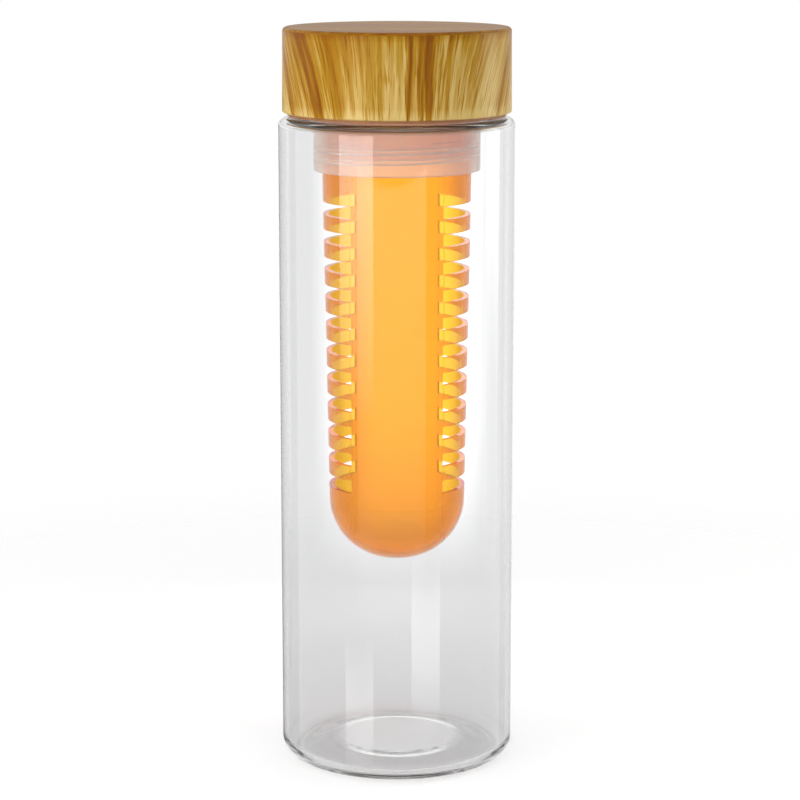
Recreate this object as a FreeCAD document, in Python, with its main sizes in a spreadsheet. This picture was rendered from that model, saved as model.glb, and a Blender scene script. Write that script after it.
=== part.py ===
import FreeCAD, Part
import os
import Sketcher

# Fruit infuser water bottle, in millimetres, at its real size.
# The origin is the middle of the base, on the plane it stands on, and +Z runs up the axis.
# Radii step inwards from the body's radius: cap shell, liner, neck, collar, then basket.
# Heights step up from the base to the cap, and down from the collar to the basket.

SIZES = {
    # Clear bottle
    "body_radius": 36.0,
    "body_wall": 1.8,
    "shoulder_height": 199.8,
    "shoulder_wall": 2.0,
    "shoulder_round": 2.8,
    "heel_round": 5.3,
    "base_wall": 2.6,
    "standing_ring_width": 3.2,
    "punt_slope_width": 8.0,
    "punt_rise": 2.4,
    "punt_round": 12.0,
    "neck_height": 19.9,
    "neck_wall": 1.8,
    "neck_root_round": 0.6,
    "rim_round": 0.3,
    # Thread between the neck and the cap's liner
    "cap_thread_pitch": 4.0,
    "cap_thread_depth": 1.4,
    "cap_thread_clearance": 0.3,
    "cap_thread_lead_in": 2.8,
    "neck_thread_turns": 1.25,
    "liner_thread_turns": 1.0,
    # Cap shell
    "cap_overhang": 1.2,
    "cap_taper": 0.2,
    "shell_wall": 2.4,
    "shell_top_wall": 2.2,
    "shell_top_clearance": 0.1,
    "shell_top_round": 1.2,
    "shell_lip_round": 0.5,
    # Cap liner
    "liner_clearance": 0.2,
    "liner_wall": 1.9,
    "liner_top_wall": 1.7,
    "liner_flange_wall": 1.0,
    "liner_flange_inset": 1.6,
    "shoulder_gap": 0.4,
    "rib_count": 12,
    "rib_width": 1.6,
    "rib_height": 0.7,
    "rib_length": 14.0,
    "rib_clearance": 0.2,
    # Snap joint between the liner's spigot and the collar
    "spigot_length": 6.0,
    "spigot_wall": 1.6,
    "spigot_clearance": 0.2,
    "snap_height": 0.5,
    "snap_width": 1.6,
    "snap_clearance": 0.2,
    # Neck gasket
    "gasket_thickness": 1.8,
    "gasket_clearance": 0.3,
    # Infuser collar
    "neck_clearance": 1.4,
    "collar_length": 39.0,
    "collar_wall": 1.5,
    "collar_upper_wall": 2.0,
    "collar_flange_wall": 1.2,
    "collar_socket_depth": 17.3,
    "collar_ledge_wall": 1.5,
    "collar_lip_round": 0.4,
    # Thread between the collar and the basket
    "basket_thread_pitch": 3.0,
    "basket_thread_depth": 0.85,
    "basket_thread_clearance": 0.3,
    "basket_thread_lead_in": 2.1,
    "basket_thread_turns": 2.25,
    "collar_thread_turns": 2.0,
    # Basket seal and basket
    "seal_thickness": 1.5,
    "basket_length": 136.6,
    "basket_wall": 1.5,
    "basket_draft": 2.15,
    "dome_flat": 1.3,
    "slot_rows": 11,
    "slot_height": 3.9,
    "slot_depth": 9.0,
    "slot_top_margin": 11.3,
    "slot_bottom_margin": 5.9,
    # Both threads: ridge widths as shares of the pitch
    "ridge_root_share": 0.58,
    "ridge_crest_share": 0.27,
    # Shared by all cuts and joined ridges
    "overrun": 1.0,
    "ridge_sink": 0.3,
}

# Radii and heights that one piece takes from another.
FITS = {
    # Radii, from the outside in
    "cap_radius": "Sizes.body_radius - Sizes.cap_overhang",
    "shell_bore": "cap_radius - Sizes.shell_wall",
    "liner_radius": "shell_bore - Sizes.liner_clearance",
    "liner_flange_radius": "cap_radius - Sizes.liner_flange_inset",
    "liner_bore": "liner_radius - Sizes.liner_wall",
    "neck_crest": "liner_bore - Sizes.cap_thread_clearance",
    "neck_radius": "neck_crest - Sizes.cap_thread_depth",
    "liner_crest": "neck_radius + Sizes.cap_thread_clearance",
    "neck_bore": "neck_radius - Sizes.neck_wall",
    "collar_radius": "neck_bore - Sizes.neck_clearance",
    "collar_bore": "collar_radius - Sizes.collar_wall",
    "collar_upper_bore": "collar_radius - Sizes.collar_upper_wall",
    "spigot_radius": "collar_upper_bore - Sizes.spigot_clearance",
    "spigot_bore": "spigot_radius - Sizes.spigot_wall",
    "basket_crest": "collar_bore - Sizes.basket_thread_clearance",
    "basket_radius": "basket_crest - Sizes.basket_thread_depth",
    "collar_crest": "basket_radius + Sizes.basket_thread_clearance",
    "basket_bore": "basket_radius - Sizes.basket_wall",
    "dome_radius": "basket_radius - Sizes.basket_draft",
    "dome_bore": "dome_radius - Sizes.basket_wall",
    "slot_plane": "basket_radius - Sizes.slot_depth",
    "gasket_bore": "collar_radius + Sizes.gasket_clearance",
    "body_bore": "Sizes.body_radius - Sizes.body_wall",
    "standing_ring": "Sizes.body_radius - Sizes.heel_round - Sizes.standing_ring_width",
    "punt_radius": "standing_ring - Sizes.punt_slope_width",
    # Heights, from the shoulder up
    "liner_bottom": "Sizes.shoulder_height + Sizes.shoulder_gap",
    "shell_bottom": "liner_bottom + Sizes.liner_flange_wall",
    "neck_top": "Sizes.shoulder_height + Sizes.neck_height",
    "gasket_top": "neck_top + Sizes.gasket_thickness",
    "collar_top": "gasket_top + Sizes.collar_flange_wall",
    "liner_top": "collar_top + Sizes.liner_top_wall",
    "shell_ceiling": "liner_top + Sizes.shell_top_clearance",
    "shell_top": "shell_ceiling + Sizes.shell_top_wall",
    "liner_thread_start": "liner_bottom + Sizes.cap_thread_lead_in",
    "neck_thread_start": "liner_thread_start + Sizes.cap_thread_pitch / 2",
    "spigot_bottom": "collar_top - Sizes.spigot_length",
    "snap_middle": "spigot_bottom + Sizes.snap_width",
    # Heights, from the collar down
    "collar_bottom": "collar_top - Sizes.collar_length",
    "ledge_bottom": "collar_bottom + Sizes.collar_socket_depth",
    "ledge_top": "ledge_bottom + Sizes.collar_ledge_wall",
    "collar_thread_start": "collar_bottom + Sizes.basket_thread_lead_in",
    "basket_thread_start": "collar_thread_start + Sizes.basket_thread_pitch / 2",
    "basket_top": "ledge_bottom - Sizes.seal_thickness",
    "basket_bottom": "basket_top - Sizes.basket_length",
    "basket_floor": "basket_bottom + Sizes.basket_wall",
    "dome_round": "dome_radius - Sizes.dome_flat",
    "dome_top": "basket_bottom + dome_round",
    "top_slot": "collar_bottom - Sizes.slot_top_margin",
    "bottom_slot": "dome_top + Sizes.slot_bottom_margin",
    "slot_span": "top_slot - bottom_slot",
}

# How close a measured edge must lie to the place it is looked for.
EDGE_TOLERANCE = 0.001

document = FreeCAD.newDocument("InfuserBottle")


def fill_sheet():
    """Write each driving size to a cell of the sheet, under its own alias."""
    sheet = document.addObject("Spreadsheet::Sheet", "Sizes")
    for row, (alias, value) in enumerate(SIZES.items(), start=1):
        sheet.set(f"A{row}", alias)
        sheet.set(f"B{row}", str(value))
        sheet.setAlias(f"B{row}", alias)
    document.recompute()


def derive_fits():
    """Work out the shared radii and heights from the sheet."""
    fits = document.addObject("App::VarSet", "Fits")
    for name, expression in FITS.items():
        fits.addProperty("App::PropertyFloat", name, "Fits")
        fits.setExpression(name, expression)
    document.recompute()
    return fits


def new_body(name):
    """Start an empty body whose label names its file."""
    body = document.addObject("PartDesign::Body", name)
    body.Label = name
    return body


def origin_plane(body, role):
    """Find one of a body's own origin planes."""
    return [plane for plane in body.Origin.OriginFeatures if plane.Role == role][0]


def sketch_outline(body, name, corners, role="XZ_Plane"):
    """Draw a closed outline of straight runs, each corner held by two bound distances from the origin."""
    sketch = body.newObject("Sketcher::SketchObject", name)
    sketch.AttachmentSupport = (origin_plane(body, role), [""])
    sketch.MapMode = "FlatFace"
    points = [FreeCAD.Vector(*(float(sketch.evalExpression(text)) for text in corner)) for corner in corners]
    count = len(points)
    for index, point in enumerate(points):
        sketch.addGeometry(Part.LineSegment(point, points[(index + 1) % count]))
    for index in range(count):
        sketch.addConstraint(Sketcher.Constraint("Coincident", index, 2, (index + 1) % count, 1))
    for index, corner in enumerate(corners):
        hold_corner(sketch, index, "DistanceX", corner[0], points[index].x, -2)
        hold_corner(sketch, index, "DistanceY", corner[1], points[index].y, -1)
    document.recompute()
    return sketch


def hold_corner(sketch, index, kind, expression, value, axis):
    """Hold one coordinate of a corner: on the axis where it is zero, or else by a bound distance."""
    if expression == "0":
        sketch.addConstraint(Sketcher.Constraint("PointOnObject", index, 1, axis))
        return
    constraint = sketch.addConstraint(Sketcher.Constraint(kind, -1, 1, index, 1, value))
    sketch.setExpression(f"Constraints[{constraint}]", expression)


def revolve(body, name, corners):
    """Turn an outline of radius and height pairs about the bottle's axis."""
    sketch = sketch_outline(body, name + "_outline", corners)
    turned = body.newObject("PartDesign::Revolution", name)
    turned.Profile = sketch
    turned.ReferenceAxis = (sketch, ["V_Axis"])
    turned.Angle = 360
    document.recompute()
    return turned


def is_rim(edge, radius, height):
    """Tell whether an edge is the circle of that radius at that height."""
    if not isinstance(edge.Curve, Part.Circle):
        return False
    same_radius = abs(edge.Curve.Radius - radius) < EDGE_TOLERANCE
    return same_radius and abs(edge.Curve.Center.z - height) < EDGE_TOLERANCE


def round_rims(body, name, rims, size):
    """Round the circular edges at the given radius and height pairs."""
    base = body.Tip
    rounded = body.newObject("PartDesign::Fillet", name)
    places = [tuple(float(rounded.evalExpression(text)) for text in rim) for rim in rims]
    found = []
    for number, edge in enumerate(base.Shape.Edges, start=1):
        if any(is_rim(edge, radius, height) for radius, height in places):
            found.append(f"Edge{number}")
    if len(found) != len(rims):
        raise RuntimeError(f"{name}: {len(found)} of {len(rims)} rims found")
    rounded.Base = (base, found)
    rounded.setExpression("Radius", size)
    document.recompute()
    return rounded


def add_thread(body, name, wall, crest, start, pitch, turns):
    """Wind a right-hand ridge round the axis, from a little inside the wall out to the crest."""
    root_half = f"{pitch} * Sizes.ridge_root_share / 2"
    crest_half = f"{pitch} * Sizes.ridge_crest_share / 2"
    ridge = sketch_outline(body, name + "_ridge", [
        (wall, f"{start} - {root_half}"),
        (crest, f"{start} - {crest_half}"),
        (crest, f"{start} + {crest_half}"),
        (wall, f"{start} + {root_half}"),
    ])
    helix = body.newObject("PartDesign::AdditiveHelix", name)
    helix.Profile = ridge
    helix.ReferenceAxis = (ridge, ["V_Axis"])
    helix.Mode = "pitch-turns-angle"
    helix.setExpression("Pitch", pitch)
    helix.setExpression("Turns", turns)
    document.recompute()
    return helix


def repeat_round(body, name, feature, count):
    """Repeat a feature evenly round the bottle's axis."""
    pattern = body.newObject("PartDesign::PolarPattern", name)
    pattern.Originals = [feature]
    pattern.Axis = (feature.Profile[0], ["N_Axis"])
    pattern.Angle = 360
    pattern.setExpression("Occurrences", count)
    body.Tip = pattern
    document.recompute()
    return pattern


def key_outline(body, name, inner, outer, half_width, height):
    """Draw a rectangle across the +X radius, on a level plane at the given height."""
    sketch = sketch_outline(body, name, [
        (inner, f"-({half_width})"),
        (outer, f"-({half_width})"),
        (outer, half_width),
        (inner, half_width),
    ], "XY_Plane")
    sketch.setExpression("AttachmentOffset.Base.z", height)
    document.recompute()
    return sketch


def make_bottle_body():
    """Build the clear bottle: raised base, straight wall, flat shoulder and threaded neck."""
    body = new_body("bottle_body")
    floor = "Sizes.punt_rise + Sizes.base_wall"
    ceiling = "Sizes.shoulder_height - Sizes.shoulder_wall"
    revolve(body, "bottle_wall", [
        ("0", "Sizes.punt_rise"),
        ("Fits.punt_radius", "Sizes.punt_rise"),
        ("Fits.standing_ring", "0"),
        ("Sizes.body_radius", "0"),
        ("Sizes.body_radius", "Sizes.shoulder_height"),
        ("Fits.neck_radius", "Sizes.shoulder_height"),
        ("Fits.neck_radius", "Fits.neck_top"),
        ("Fits.neck_bore", "Fits.neck_top"),
        ("Fits.neck_bore", ceiling),
        ("Fits.body_bore", ceiling),
        ("Fits.body_bore", "Sizes.base_wall"),
        ("Fits.standing_ring", "Sizes.base_wall"),
        ("Fits.punt_radius", floor),
        ("0", floor),
    ])
    round_rims(body, "heel", [("Sizes.body_radius", "0")], "Sizes.heel_round")
    round_rims(body, "inner_heel", [("Fits.body_bore", "Sizes.base_wall")],
               "Sizes.heel_round - Sizes.body_wall")
    round_rims(body, "shoulder", [("Sizes.body_radius", "Sizes.shoulder_height")], "Sizes.shoulder_round")
    round_rims(body, "inner_shoulder", [("Fits.body_bore", ceiling)],
               "Sizes.shoulder_round - Sizes.body_wall")
    round_rims(body, "punt_edges", [("Fits.punt_radius", "Sizes.punt_rise"), ("Fits.punt_radius", floor),
                                    ("Fits.standing_ring", "0"), ("Fits.standing_ring", "Sizes.base_wall")],
               "Sizes.punt_round")
    round_rims(body, "neck_root", [("Fits.neck_radius", "Sizes.shoulder_height"), ("Fits.neck_bore", ceiling)],
               "Sizes.neck_root_round")
    round_rims(body, "neck_rim", [("Fits.neck_radius", "Fits.neck_top"), ("Fits.neck_bore", "Fits.neck_top")],
               "Sizes.rim_round")
    add_thread(body, "neck_thread", "Fits.neck_radius - Sizes.ridge_sink", "Fits.neck_crest",
               "Fits.neck_thread_start", "Sizes.cap_thread_pitch", "Sizes.neck_thread_turns")
    return body


def make_cap_shell():
    """Build the wood-look outer shell: a plain cup, open below, with keyways for the liner's ribs."""
    body = new_body("cap_shell")
    top_radius = "Fits.cap_radius - Sizes.cap_taper"
    revolve(body, "shell_cup", [
        ("0", "Fits.shell_ceiling"),
        ("Fits.shell_bore", "Fits.shell_ceiling"),
        ("Fits.shell_bore", "Fits.shell_bottom"),
        ("Fits.cap_radius", "Fits.shell_bottom"),
        (top_radius, "Fits.shell_top"),
        ("0", "Fits.shell_top"),
    ])
    round_rims(body, "shell_edge", [(top_radius, "Fits.shell_top")], "Sizes.shell_top_round")
    round_rims(body, "shell_lip", [("Fits.cap_radius", "Fits.shell_bottom")], "Sizes.shell_lip_round")
    keyway = body.newObject("PartDesign::Pocket", "keyway")
    keyway.Profile = key_outline(body, "keyway_outline", "Fits.shell_bore - Sizes.overrun",
                                 "Fits.liner_radius + Sizes.rib_height + Sizes.rib_clearance",
                                 "Sizes.rib_width / 2 + Sizes.rib_clearance", "Fits.shell_bottom")
    keyway.Reversed = True
    keyway.setExpression("Length", "Sizes.rib_length + Sizes.rib_clearance")
    document.recompute()
    repeat_round(body, "keyways", keyway, "Sizes.rib_count")
    return body


def make_cap_liner():
    """Build the dark inner cup: ceiling, threaded skirt, lower flange, spigot and outer ribs."""
    body = new_body("cap_liner")
    snap_half = "Sizes.snap_width / 2"
    revolve(body, "liner_cup", [
        ("0", "Fits.liner_top"),
        ("0", "Fits.collar_top"),
        ("Fits.spigot_bore", "Fits.collar_top"),
        ("Fits.spigot_bore", "Fits.spigot_bottom"),
        ("Fits.spigot_radius", "Fits.spigot_bottom"),
        ("Fits.spigot_radius", f"Fits.snap_middle - {snap_half}"),
        ("Fits.spigot_radius + Sizes.snap_height", "Fits.snap_middle"),
        ("Fits.spigot_radius", f"Fits.snap_middle + {snap_half}"),
        ("Fits.spigot_radius", "Fits.collar_top"),
        ("Fits.liner_bore", "Fits.collar_top"),
        ("Fits.liner_bore", "Fits.liner_bottom"),
        ("Fits.liner_flange_radius", "Fits.liner_bottom"),
        ("Fits.liner_flange_radius", "Fits.shell_bottom"),
        ("Fits.liner_radius", "Fits.shell_bottom"),
        ("Fits.liner_radius", "Fits.liner_top"),
    ])
    rib = body.newObject("PartDesign::Pad", "rib")
    rib.Profile = key_outline(body, "rib_outline", "Fits.liner_radius - Sizes.ridge_sink",
                              "Fits.liner_radius + Sizes.rib_height", "Sizes.rib_width / 2",
                              "Fits.shell_bottom")
    rib.setExpression("Length", "Sizes.rib_length")
    document.recompute()
    repeat_round(body, "ribs", rib, "Sizes.rib_count")
    add_thread(body, "liner_thread", "Fits.liner_bore + Sizes.ridge_sink", "Fits.liner_crest",
               "Fits.liner_thread_start", "Sizes.cap_thread_pitch", "Sizes.liner_thread_turns")
    return body


def make_neck_gasket():
    """Build the flat soft ring that lies on the neck's rim."""
    body = new_body("neck_gasket")
    revolve(body, "gasket_ring", [
        ("Fits.gasket_bore", "Fits.neck_top"),
        ("Fits.neck_radius", "Fits.neck_top"),
        ("Fits.neck_radius", "Fits.gasket_top"),
        ("Fits.gasket_bore", "Fits.gasket_top"),
    ])
    return body


def make_infuser_collar():
    """Build the frosted collar: top flange, snap groove, ledge and threaded socket for the basket."""
    body = new_body("infuser_collar")
    snap_half = "Sizes.snap_width / 2 + Sizes.snap_clearance"
    snap_depth = "Sizes.snap_height + Sizes.snap_clearance - Sizes.spigot_clearance"
    revolve(body, "collar_tube", [
        ("Fits.collar_upper_bore", "Fits.collar_top"),
        ("Fits.collar_upper_bore", f"Fits.snap_middle + {snap_half}"),
        (f"Fits.collar_upper_bore + {snap_depth}", "Fits.snap_middle"),
        ("Fits.collar_upper_bore", f"Fits.snap_middle - ({snap_half})"),
        ("Fits.collar_upper_bore", "Fits.ledge_top"),
        ("Fits.basket_bore", "Fits.ledge_top"),
        ("Fits.basket_bore", "Fits.ledge_bottom"),
        ("Fits.collar_bore", "Fits.ledge_bottom"),
        ("Fits.collar_bore", "Fits.collar_bottom"),
        ("Fits.collar_radius", "Fits.collar_bottom"),
        ("Fits.collar_radius", "Fits.gasket_top"),
        ("Fits.neck_radius", "Fits.gasket_top"),
        ("Fits.neck_radius", "Fits.collar_top"),
    ])
    round_rims(body, "collar_lip", [("Fits.collar_radius", "Fits.collar_bottom")], "Sizes.collar_lip_round")
    add_thread(body, "collar_thread", "Fits.collar_bore + Sizes.ridge_sink", "Fits.collar_crest",
               "Fits.collar_thread_start", "Sizes.basket_thread_pitch", "Sizes.collar_thread_turns")
    return body


def make_basket_seal():
    """Build the flat soft ring between the collar's ledge and the basket's rim."""
    body = new_body("basket_seal")
    revolve(body, "seal_ring", [
        ("Fits.basket_bore", "Fits.basket_top"),
        ("Fits.basket_radius", "Fits.basket_top"),
        ("Fits.basket_radius", "Fits.ledge_bottom"),
        ("Fits.basket_bore", "Fits.ledge_bottom"),
    ])
    return body


def cut_slots(body, side):
    """Cut one side's column of slots, each straight through the basket from front to back."""
    name = "right" if side > 0 else "left"
    sign = "" if side > 0 else "-"
    half = "Sizes.slot_height / 2"
    slot = body.newObject("PartDesign::Pocket", name + "_slot")
    slot.Profile = sketch_outline(body, name + "_slot_outline", [
        (f"{sign}Fits.slot_plane", f"Fits.top_slot - {half}"),
        (f"{sign}(Fits.basket_radius + Sizes.overrun)", f"Fits.top_slot - {half}"),
        (f"{sign}(Fits.basket_radius + Sizes.overrun)", f"Fits.top_slot + {half}"),
        (f"{sign}Fits.slot_plane", f"Fits.top_slot + {half}"),
    ])
    slot.SideType = "Symmetric"
    slot.setExpression("Length", "2 * (Fits.basket_radius + Sizes.overrun)")
    document.recompute()
    column = body.newObject("PartDesign::LinearPattern", name + "_slots")
    column.Originals = [slot]
    column.Direction = (slot.Profile[0], ["V_Axis"])
    column.Reversed = True
    column.setExpression("Length", "Fits.slot_span")
    column.setExpression("Occurrences", "Sizes.slot_rows")
    body.Tip = column
    document.recompute()


def make_infuser_basket():
    """Build the orange basket: threaded top, tapered wall, round bottom and a column of slots each side."""
    body = new_body("infuser_basket")
    revolve(body, "basket_cup", [
        ("0", "Fits.basket_bottom"),
        ("Fits.dome_radius", "Fits.basket_bottom"),
        ("Fits.basket_radius", "Fits.collar_bottom"),
        ("Fits.basket_radius", "Fits.basket_top"),
        ("Fits.basket_bore", "Fits.basket_top"),
        ("Fits.basket_bore", "Fits.collar_bottom"),
        ("Fits.dome_bore", "Fits.basket_floor"),
        ("0", "Fits.basket_floor"),
    ])
    round_rims(body, "dome", [("Fits.dome_radius", "Fits.basket_bottom")], "Fits.dome_round")
    round_rims(body, "inner_dome", [("Fits.dome_bore", "Fits.basket_floor")],
               "Fits.dome_round - Sizes.basket_wall")
    cut_slots(body, 1)
    cut_slots(body, -1)
    add_thread(body, "basket_thread", "Fits.basket_radius - Sizes.ridge_sink", "Fits.basket_crest",
               "Fits.basket_thread_start", "Sizes.basket_thread_pitch", "Sizes.basket_thread_turns")
    return body


def check_document():
    """Stop if any object of the document failed to build."""
    document.recompute()
    for item in document.Objects:
        if "Invalid" in item.State or "Error" in item.State:
            raise RuntimeError(f"{item.Label} failed: {item.State}")


def export(bodies):
    """Check each piece and write it to its own file."""
    for body in bodies:
        if body.Shape.isNull() or not body.Shape.isValid() or len(body.Shape.Solids) != 1:
            raise RuntimeError(f"{body.Label} is not one valid solid")
    os.makedirs("parts", exist_ok=True)
    for body in bodies:
        body.Shape.exportStep(f"parts/{body.Label}.step")
        print(body.Label, round(body.Shape.Volume), "cubic millimetres")


fill_sheet()
derive_fits()
pieces = [
    make_bottle_body(),
    make_cap_shell(),
    make_cap_liner(),
    make_neck_gasket(),
    make_infuser_collar(),
    make_basket_seal(),
    make_infuser_basket(),
]
check_document()
export(pieces)
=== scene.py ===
import logging
import math
from collections.abc import Callable
from dataclasses import dataclass
from enum import Enum

import bmesh
import bpy
from mathutils import Color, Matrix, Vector


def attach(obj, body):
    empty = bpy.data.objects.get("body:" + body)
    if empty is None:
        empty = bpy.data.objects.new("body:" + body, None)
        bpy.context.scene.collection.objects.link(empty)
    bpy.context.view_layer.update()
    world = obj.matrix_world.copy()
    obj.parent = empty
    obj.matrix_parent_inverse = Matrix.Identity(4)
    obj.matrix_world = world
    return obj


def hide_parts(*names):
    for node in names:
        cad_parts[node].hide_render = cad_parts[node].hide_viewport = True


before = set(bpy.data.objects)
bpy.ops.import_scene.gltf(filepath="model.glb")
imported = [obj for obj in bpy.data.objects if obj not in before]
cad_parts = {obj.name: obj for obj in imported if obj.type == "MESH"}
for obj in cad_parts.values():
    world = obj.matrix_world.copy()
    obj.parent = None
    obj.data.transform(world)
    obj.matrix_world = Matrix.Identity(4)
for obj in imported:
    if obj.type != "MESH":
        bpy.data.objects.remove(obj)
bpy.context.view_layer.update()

# A fruit infuser water bottle: clear bottle, wood-look screw cap, frosted collar and orange basket.
# Sizes are in millimetres, as in the part's source. Meshes are in metres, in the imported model's frame.

MM = 0.001
FULL_TURN = 2 * math.pi
UPRIGHT = {"center": (0, 0, 0), "axis": (0, 0, 1)}
TURN_STEPS = 192
THREAD_STEPS = 96
RUN_OUT_STEPS = 4
ARC_STEP = math.radians(6.0)
SMALLEST_ARC_PARTS = 4
SOFT_EDGE_PARTS = 2
MERGE_DISTANCE = 0.002 * MM
PICK_DISTANCE = 0.004 * MM

# Angles between two faces, in degrees, from which an edge is softened, softened on a ridge, or kept sharp.
HARD_EDGE = 50.0
RIDGE_EDGE = 40.0
SMOOTH_EDGE = 32.0

# The round profile of a bevel.
ROUND_PROFILE = 0.5

# How far a cutter reaches past what it cuts, in millimetres.
OVERRUN = 1.0

# Sizes that a shape and a finish share, in millimetres: the slots' flat ends from the middle, the cap's lip.
SLOT_PLANE = 13.75
CAP_LIP = 201.2

# The range that most of a noise pattern stays in.
NOISE_LOW = 0.3
NOISE_HIGH = 0.7

SCREEN_WHITE = 255

Triple = tuple[float, float, float]
Colour = Triple
Span = tuple[float, float]
Piece = bpy.types.Object
Socket = bpy.types.NodeSocket
Axes = tuple[Socket, Socket, Socket]

log = logging.getLogger("infuser_bottle")


class Body(Enum):
    """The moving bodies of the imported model."""

    BOTTLE = "bottle"
    GASKET = "gasket"
    LID = "lid"
    SEAL = "seal"
    BASKET = "basket"


class Slot(Enum):
    """The record's material slots."""

    CLEAR = "clear_plastic"
    WOOD = "wood_look"
    LINER = "dark_liner"
    SILICONE = "silicone"
    FROSTED = "frosted_plastic"
    ORANGE = "orange_plastic"


class Join(Enum):
    """How one mesh is worked into another."""

    ADD = "UNION"
    CUT = "DIFFERENCE"


class Side(Enum):
    """The basket's two columns of slots."""

    LEFT = -1
    RIGHT = 1


class Target(Enum):
    """What a node tree belongs to, by the node that ends it."""

    MATERIAL = "OutputMaterial"
    LAMP = "OutputLight"
    WORLD = "OutputWorld"


class Blend(Enum):
    """What a Mix node blends: its data type, its first input for that type and its output."""

    VECTORS = ("VECTOR", 4, 1)
    COLOURS = ("RGBA", 6, 2)


class Fall(Enum):
    """How a value changes between two others."""

    EVEN = "LINEAR"
    SMOOTH = "SMOOTHSTEP"


@dataclass(frozen=True)
class Corner:
    """A corner of a turned outline, in millimetres.

    Attributes:
        radius: Distance from the bottle's axis.
        height: Height above the floor.
        rounding: Radius of the arc that rounds the corner, 0 for a sharp one.
    """

    radius: float
    height: float
    rounding: float = 0.0

    def place(self) -> Vector:
        """Return the corner's place in metres, in the plane of +X and +Z."""
        return Vector((self.radius * MM, 0.0, self.height * MM))


def choose(piece: Piece) -> None:
    """Make a piece the only selected object, and the active one.

    Args:
        piece: The object that the next operators act on.
    """
    bpy.ops.object.select_all(action="DESELECT")
    piece.select_set(True)
    bpy.context.view_layer.objects.active = piece


def add_object(name: str, operator: Callable[..., set[str]], **settings: object) -> Piece:
    """Add an object by one of the add operators, with nothing else selected.

    Args:
        name: The new object's name.
        operator: The operator that adds it.
        **settings: The operator's settings.

    Returns:
        The new object.
    """
    bpy.ops.object.select_all(action="DESELECT")
    operator(**settings)
    piece = bpy.context.active_object
    piece.name = piece.data.name = name
    return piece


def modify(piece: Piece, kind: str, **settings: object) -> None:
    """Give a piece a modifier and apply it.

    Args:
        piece: The piece that is changed.
        kind: The modifier's type.
        **settings: The modifier's settings.
    """
    modifier = piece.modifiers.new(kind.lower(), kind)
    for name, value in settings.items():
        setattr(modifier, name, value)
    choose(piece)
    bpy.ops.object.modifier_apply(modifier=modifier.name)


def edit_all() -> None:
    """Open the active mesh in edit mode with all its points selected."""
    bpy.ops.object.mode_set(mode="EDIT")
    bpy.ops.mesh.select_mode(type="VERT")
    bpy.ops.mesh.select_all(action="SELECT")


def close_mesh() -> None:
    """Merge doubled points of the mesh in edit mode and turn its faces outwards."""
    bpy.ops.mesh.select_all(action="SELECT")
    bpy.ops.mesh.remove_doubles(threshold=MERGE_DISTANCE)
    bpy.ops.mesh.normals_make_consistent(inside=False)
    bpy.ops.object.mode_set(mode="OBJECT")


def pick_points(piece: Piece, places: list[Vector]) -> None:
    """Select the vertices of a mesh in edit mode that lie at given places.

    Args:
        piece: The object in edit mode.
        places: The places to look for, in metres.
    """
    mesh = bmesh.from_edit_mesh(piece.data)
    for vertex in mesh.verts:
        vertex.select_set(any((vertex.co - place).length < PICK_DISTANCE for place in places))
    mesh.select_flush_mode()
    bmesh.update_edit_mesh(piece.data)


def round_corner(piece: Piece, before: Vector, place: Vector, after: Vector, radius: float) -> None:
    """Round one corner of an outline in edit mode with an arc.

    Args:
        piece: The outline's object.
        before: The corner before it, in metres.
        place: The corner to round.
        after: The corner after it.
        radius: The arc's radius, in metres.
    """
    opening = (before - place).angle(after - place)
    parts = max(SMALLEST_ARC_PARTS, math.ceil((math.pi - opening) / ARC_STEP))
    pick_points(piece, [place])
    bpy.ops.mesh.bevel(offset_type="OFFSET", offset=radius / math.tan(opening / 2), segments=parts,
                       profile=ROUND_PROFILE, affect="VERTICES", clamp_overlap=False)


def draw_outline(name: str, corners: list[Corner], closed: bool) -> Piece:
    """Draw an outline of straight runs and rounded corners, and stay in edit mode.

    Args:
        name: The new piece's name.
        corners: The outline's corners in order.
        closed: Whether the last corner is joined to the first.

    Returns:
        The object that holds the outline.
    """
    piece = add_object(name, bpy.ops.mesh.primitive_plane_add, size=MM)
    places = [corner.place() for corner in corners]
    edit_all()
    bpy.ops.mesh.merge(type="CENTER")
    bpy.ops.transform.translate(value=places[0])
    for before, after in zip(places, places[1:]):
        bpy.ops.mesh.extrude_region_move(TRANSFORM_OT_translate={"value": after - before})
    if closed:
        pick_points(piece, [places[0], places[-1]])
        bpy.ops.mesh.edge_face_add()
    for index, corner in enumerate(corners):
        if corner.rounding:
            after = places[(index + 1) % len(places)]
            round_corner(piece, places[index - 1], places[index], after, corner.rounding * MM)
    return piece


def turn_outline(name: str, corners: list[Corner], closed: bool = False) -> Piece:
    """Turn an outline once about the bottle's axis.

    Args:
        name: The new piece's name.
        corners: The outline's corners. An open outline starts and ends on the axis.
        closed: Whether the outline is a closed loop, as for a ring.

    Returns:
        The turned piece, in object mode.
    """
    piece = draw_outline(name, corners, closed)
    bpy.ops.mesh.select_all(action="SELECT")
    bpy.ops.mesh.spin(steps=TURN_STEPS, angle=FULL_TURN, **UPRIGHT)
    close_mesh()
    return piece


def turn_ring(name: str, radii: Span, heights: Span, rounding: float) -> Piece:
    """Turn a flat ring with four rounded edges.

    Args:
        name: The new piece's name.
        radii: Its bore's radius and its outer radius, in millimetres.
        heights: Its lowest and highest height, in millimetres.
        rounding: Radius of its edges, in millimetres.

    Returns:
        The ring.
    """
    (bore, radius), (low, high) = radii, heights
    places = ((bore, low), (radius, low), (radius, high), (bore, high))
    return turn_outline(name, [Corner(*place, rounding) for place in places], closed=True)


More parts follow.
